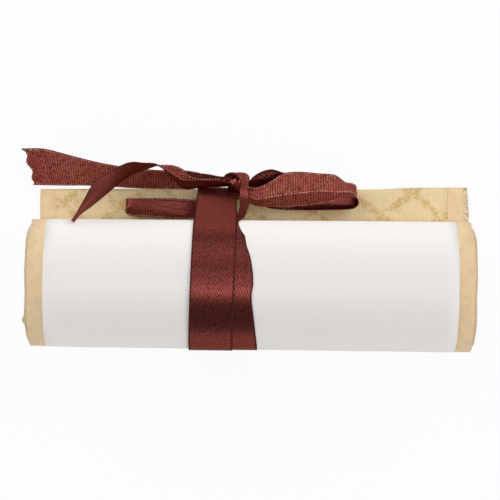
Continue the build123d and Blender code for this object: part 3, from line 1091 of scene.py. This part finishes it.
class SCROLL_OT_ribbon(bpy.types.Operator):
    """Make the ribbon: both wraps, the knot, both loops and both tails"""

    bl_idname = "scroll.ribbon"
    bl_label = "Ribbon"

    def execute(self, context):
        scene = context.scene
        sizes = scene.scroll_ribbon
        strip = Strip(sizes)
        upper = upper_wrap(scene.scroll_sheet, sizes)
        lower = lower_wrap(scene.scroll_sheet, sizes)
        right = loop(RIGHT_LOOP_OUT, RIGHT_LOOP_BACK, 4.5 * MM)
        left = loop(LEFT_LOOP_OUT, LEFT_LOOP_BACK, -3.5 * MM)
        flat = smooth_sections(bow_sections(FLAT_TAIL), 7)
        raised = smooth_sections(bow_sections(RAISED_TAIL), 6)
        strip.add(upper, folds=3.3, phase=0.2, level=True, ring=True)
        strip.add(lower, folds=3.4, phase=0.1, level=True)
        strip.add(right, folds=2.6, phase=0.35, crease=0.6)
        strip.add(left, folds=2.2, phase=0.1, crease=0.3)
        strip.add(flat, folds=1.6, phase=0.3, frayed=1.5 * MM)
        strip.add(raised, folds=1.3, phase=0.6, crease=0.3)
        add_knot(strip)
        finishes = scene.scroll_finishes
        materials = [satin_finish(finishes), ribbon_back_finish(finishes), stitch_finish()]
        stitches = edge_stitches(sizes, strip.seams, materials[2])
        strip.take(stitches, 2)
        bpy.data.meshes.remove(stitches)
        shape = (strip.points, strip.faces, strip.places)
        piece = make_piece("ribbon_bow", *shape, materials, strip.slots)
        weld(piece.data, strip.joints)
        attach(piece, "root")
        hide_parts("ribbon")
        return {"FINISHED"}


# The stage

SENSOR_WIDTH = 36.0
FOCAL_PIXELS = 2257
PHOTO_PIXELS = 500
CAMERA_DISTANCE = 1.041
# Each lamp's name, place, size and power
LAMPS = (
    ("left_lamp", (-0.9, 0.3, 0.75), (0.8, 0.8), 2.55),
    ("left_back_lamp", (-0.8, 0.8, 0.6), (0.7, 0.7), 5.06),
    ("left_front_lamp", (-0.8, -0.6, 0.25), (0.5, 0.4), 3.3),
    ("right_lamp", (0.9, 0.3, 0.75), (0.8, 0.8), 2.55),
    ("right_back_lamp", (0.8, 0.8, 0.6), (0.7, 0.7), 5.06),
    ("right_front_lamp", (0.8, -0.6, 0.25), (0.5, 0.4), 4.0),
    ("back_panel", (0.0, 0.9, 0.9), (2.0, 1.4), 3.5),
    ("strip_lamp", (0.0, -0.157, 1.19), (0.35, 0.04), 1.6),
)
TABLE_HALF = 3.0


def aim(thing, target, roll=0.0):
    """Point a lamp or the camera at a target, turned about its own line of sight."""
    direction = Vector(target) - thing.location
    thing.rotation_euler = (
        direction.to_track_quat("-Z", "Y").to_matrix() @ Matrix.Rotation(roll, 3, "Z")
    ).to_euler()


def add_world():
    """A dim white world."""
    world = bpy.data.worlds.new("studio")
    bpy.context.scene.world = world
    world.use_nodes = True
    background = world.node_tree.nodes["Background"]
    background.inputs["Color"].default_value = (1.0, 1.0, 1.0, 1.0)
    background.inputs["Strength"].default_value = 0.12


def add_lamp(name, place, size, power):
    """An area lamp turned to the roll; its place is in metres from the roll's middle along X."""
    lamp = bpy.data.lights.new(name, "AREA")
    lamp.shape = "RECTANGLE"
    lamp.size, lamp.size_y = size
    lamp.energy = power
    holder = add_object(name, lamp)
    holder.location = (SHEET_X + place[0], place[1], place[2])
    aim(holder, (SHEET_X, 0.0, ROLL_RADIUS))


def add_camera():
    """The photo's camera, nearly straight above the roll."""
    elevation = radians(85)
    axis = Vector((SHEET_X - 0.55 * MM, 0.0, 27.9 * MM))
    image_up = Vector((0.0, sin(elevation), cos(elevation)))
    camera = bpy.data.cameras.new("camera")
    camera.sensor_width = SENSOR_WIDTH
    camera.lens = SENSOR_WIDTH * FOCAL_PIXELS / PHOTO_PIXELS
    holder = add_object("camera", camera)
    holder.location = axis + CAMERA_DISTANCE * Vector((0.0, -cos(elevation), sin(elevation)))
    aim(holder, axis + 15.7 * MM * image_up, radians(0.66))
    bpy.context.scene.camera = holder


def stage_finish():
    """White to the camera with a trace of the shadows kept, and nearly plain in reflections."""
    finish = Finish("stage")
    rays = finish.node("ShaderNodeLightPath")
    seen = Term(finish, rays.outputs["Is Camera Ray"]) * 0.93
    seen = seen.most(Term(finish, rays.outputs["Is Glossy Ray"]) * 0.1)
    seen = seen.most(Term(finish, rays.outputs["Is Transmission Ray"]) * 0.93)
    plain = finish.node("ShaderNodeBsdfDiffuse", {"Color": (0.82, 0.82, 0.82, 1)})
    glow = finish.node("ShaderNodeEmission", {"Color": (1, 1, 1, 1), "Strength": 1.0})
    inputs = {0: seen, 1: plain.outputs[0], 2: glow.outputs[0]}
    both = finish.node("ShaderNodeMixShader", inputs)
    finish.feed(finish.output.inputs["Surface"], both.outputs[0])
    return finish.material


class SCROLL_OT_stage(bpy.types.Operator):
    """Make the white table, the lamps and the camera"""

    bl_idname = "scroll.stage"
    bl_label = "Stage"

    def execute(self, context):
        mesh = bpy.data.meshes.new("table")
        corners = [(x * TABLE_HALF, y * TABLE_HALF, 0) for x, y in ((-1, -1), (1, -1), (1, 1), (-1, 1))]
        mesh.from_pydata(corners, [], [(0, 1, 2, 3)])
        mesh.materials.append(stage_finish())
        floor = add_object("table", mesh)
        add_world()
        for lamp in LAMPS:
            add_lamp(*lamp)
        add_camera()
        context.scene.view_settings.view_transform = "Standard"
        return {"FINISHED"}


class SCROLL_PT_panel(bpy.types.Panel):
    """Lists the scroll's sizes, colours and pieces"""

    bl_idname = "SCROLL_PT_panel"
    bl_label = "Paper scroll"
    bl_space_type = "VIEW_3D"
    bl_region_type = "UI"
    bl_category = "Scroll"

    def draw(self, context):
        for group in (getattr(context.scene, name) for name in GROUPS):
            box = self.layout.box()
            for name in group.bl_rna.properties.keys():
                if name not in ("rna_type", "name"):
                    box.prop(group, name)
        for operator in OPERATORS:
            self.layout.operator(operator.bl_idname)


OPERATORS = (
    SCROLL_OT_backing,
    SCROLL_OT_white_panel,
    SCROLL_OT_brocade,
    SCROLL_OT_ribbon,
    SCROLL_OT_stage,
)
GROUPS = {
    "scroll_sheet": ScrollSheetSizes,
    "scroll_ribbon": ScrollRibbonSizes,
    "scroll_finishes": ScrollFinishes,
}
CLASSES = (*GROUPS.values(), *OPERATORS, SCROLL_PT_panel)


def register():
    for each in CLASSES:
        bpy.utils.register_class(each)
    for name, group in GROUPS.items():
        setattr(bpy.types.Scene, name, bpy.props.PointerProperty(type=group))


def unregister():
    for name in GROUPS:
        delattr(bpy.types.Scene, name)
    for each in reversed(CLASSES):
        bpy.utils.unregister_class(each)


def main():
    register()
    bpy.ops.scroll.stage()
    bpy.ops.scroll.backing()
    bpy.ops.scroll.white_panel()
    bpy.ops.scroll.brocade()
    bpy.ops.scroll.ribbon()


if __name__ == "__main__":
    main()
